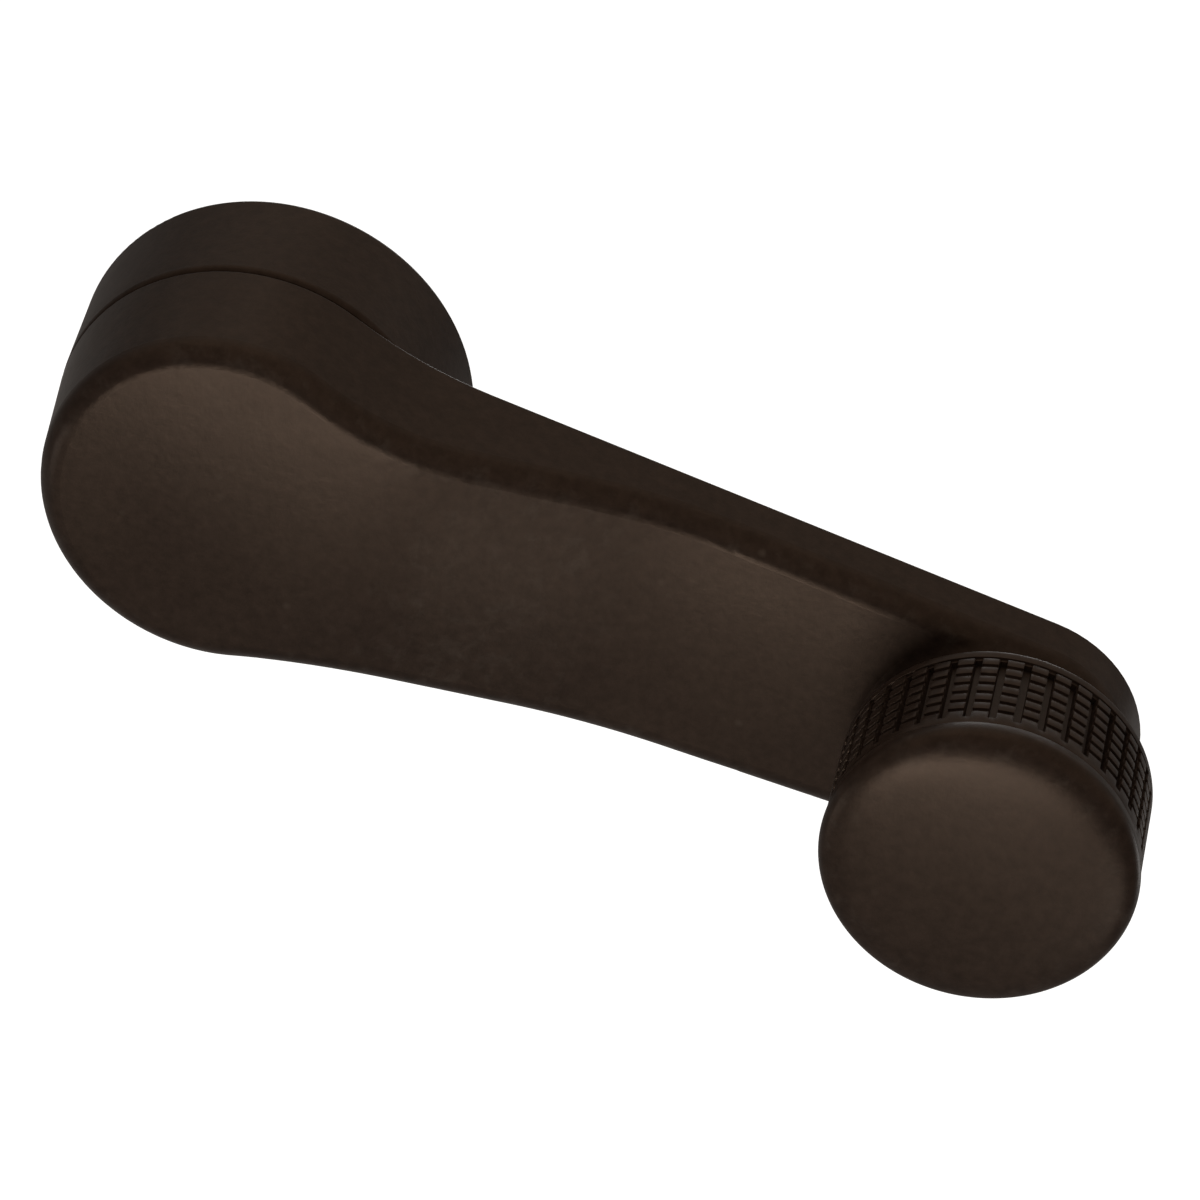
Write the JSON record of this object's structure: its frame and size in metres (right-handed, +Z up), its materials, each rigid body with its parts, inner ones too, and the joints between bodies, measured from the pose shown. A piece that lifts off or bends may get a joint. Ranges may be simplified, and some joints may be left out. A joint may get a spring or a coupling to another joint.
{
  "type": "window winder handle",
  "caption": "Hand crank for a car window: a ribbed-back plastic arm on a serrated spindle socket, with a sliding lock ring behind and a free-turning waffle-gripped knob.",
  "frame": {"origin": "centre of the lock ring's back face on the spindle axis, in the plane of the door card", "axes": "+Z up, -Y outwards from the door along the spindle, +X along the arm towards the knob"},
  "size_m": [0.1254, 0.0436, 0.044],
  "materials": {
    "arm_plastic": "satin fine-grained moulding",
    "ring_plastic": "satin fine-grained moulding",
    "knob_plastic": "satin fine-grained moulding",
    "cast_metal": "dull sintered",
    "spring_wire": "oiled spring steel",
    "plated_steel": "zinc plated",
    "bearing_plastic": "natural acetal"
  },
  "bodies": {
    "crank": {"crank_arm": "arm_plastic", "spindle_insert": "cast_metal", "knob_pin": "plated_steel", "pin_washer": "plated_steel", "thrust_washer": "bearing_plastic", "disc_spring": "spring_wire", "retaining_ring": "plated_steel"},
    "knob": {"knob_barrel": "knob_plastic", "knob_cap": "knob_plastic", "knob_bush": "bearing_plastic"},
    "ring": {"lock_ring": "ring_plastic", "lock_clip": "spring_wire"}
  },
  "joints": [
    {"name": "knob_spin", "type": "hinge", "parent": "crank", "child": "knob", "pos_m": [0.0868, -0.031, 0], "axis": [0, -1, 0], "continuous": true},
    {"name": "lock_ring_release", "type": "slide", "parent": "crank", "child": "ring", "axis": [1, 0, 0], "range_m": [0, 0.0058]}
  ]
}
